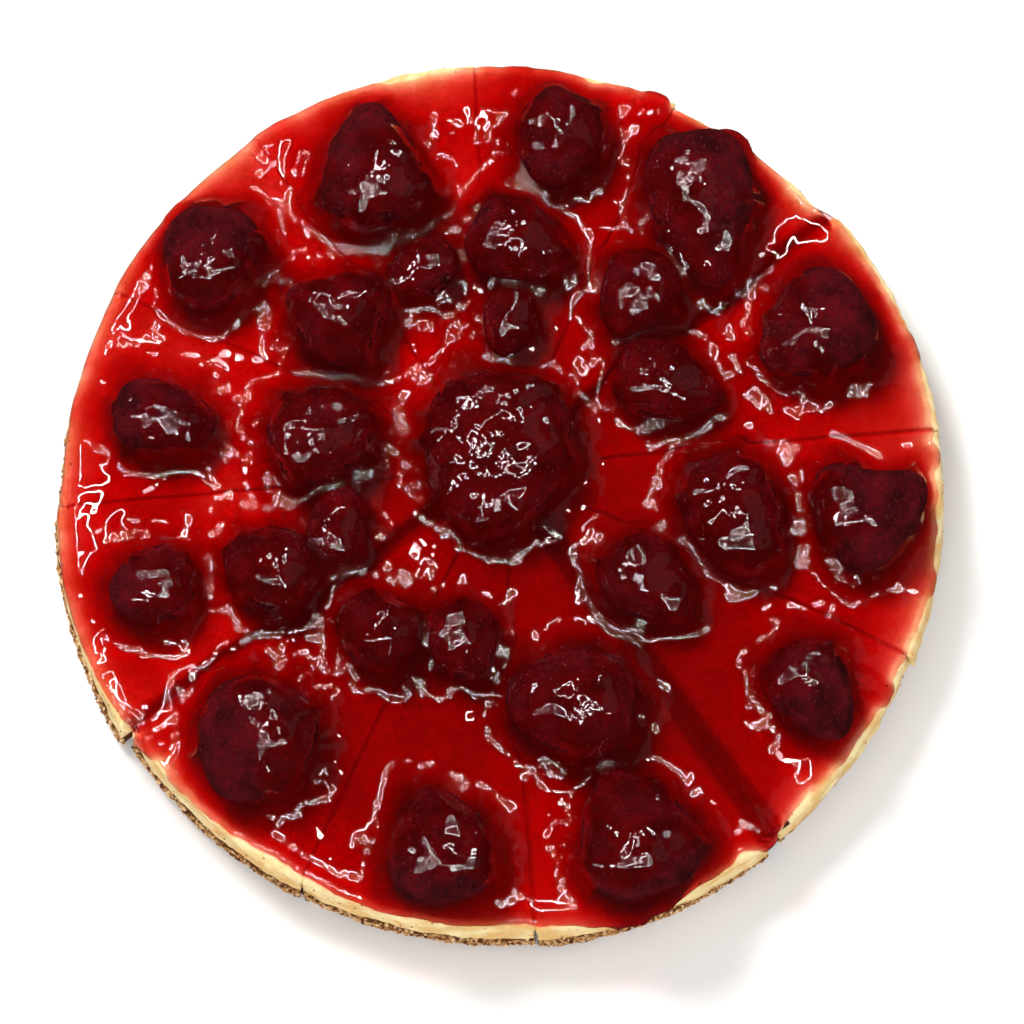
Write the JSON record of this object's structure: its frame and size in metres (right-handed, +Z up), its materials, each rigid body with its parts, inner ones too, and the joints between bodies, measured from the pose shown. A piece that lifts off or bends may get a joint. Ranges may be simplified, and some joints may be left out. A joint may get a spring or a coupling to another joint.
{
  "type": "strawberry cheesecake",
  "caption": "Round baked cheesecake on a crumb base, cut into slices that still stand together, under a clear red strawberry gel that holds whole berries.",
  "frame": {"origin": "centre of the underside, on the surface that the cake stands on", "axes": "+Z up, -Y towards the front of the picture, +X to its right"},
  "size_m": [0.2548, 0.2541, 0.0459],
  "materials": {
    "crumb": "coarse baked biscuit crumb, matte",
    "cream": "baked soft cheese, satin, finely pitted",
    "berry": "cooked strawberry under wet gel",
    "gel": "clear set gel, wet gloss"
  },
  "bodies": {
    "root": {"crumb_slice_01": "crumb", "crumb_slice_02": "crumb", "crumb_slice_03": "crumb", "crumb_slice_04": "crumb", "crumb_slice_05": "crumb", "crumb_slice_06": "crumb", "crumb_slice_07": "crumb", "crumb_slice_08": "crumb", "crumb_slice_09": "crumb", "crumb_slice_10": "crumb", "crumb_slice_11": "crumb", "crumb_slice_12": "crumb", "cream_slice_01": "cream", "cream_slice_02": "cream", "cream_slice_03": "cream", "cream_slice_04": "cream", "cream_slice_05": "cream", "cream_slice_06": "cream", "cream_slice_07": "cream", "cream_slice_08": "cream", "cream_slice_09": "cream", "cream_slice_10": "cream", "cream_slice_11": "cream", "cream_slice_12": "cream", "strawberry_01": "berry", "strawberry_02": "berry", "strawberry_03": "berry", "strawberry_04": "berry", "strawberry_05": "berry", "strawberry_06": "berry", "strawberry_07": "berry", "strawberry_08": "berry", "strawberry_09": "berry", "strawberry_10": "berry", "strawberry_11": "berry", "strawberry_12": "berry", "strawberry_13": "berry", "strawberry_14": "berry", "strawberry_15": "berry", "strawberry_16": "berry", "strawberry_17": "berry", "strawberry_18": "berry", "strawberry_19": "berry", "strawberry_20": "berry", "strawberry_21": "berry", "strawberry_22": "berry", "strawberry_23": "berry", "strawberry_24": "berry", "strawberry_25": "berry", "strawberry_26": "berry", "strawberry_27": "berry", "strawberry_gel": "gel"}
  },
  "joints": []
}
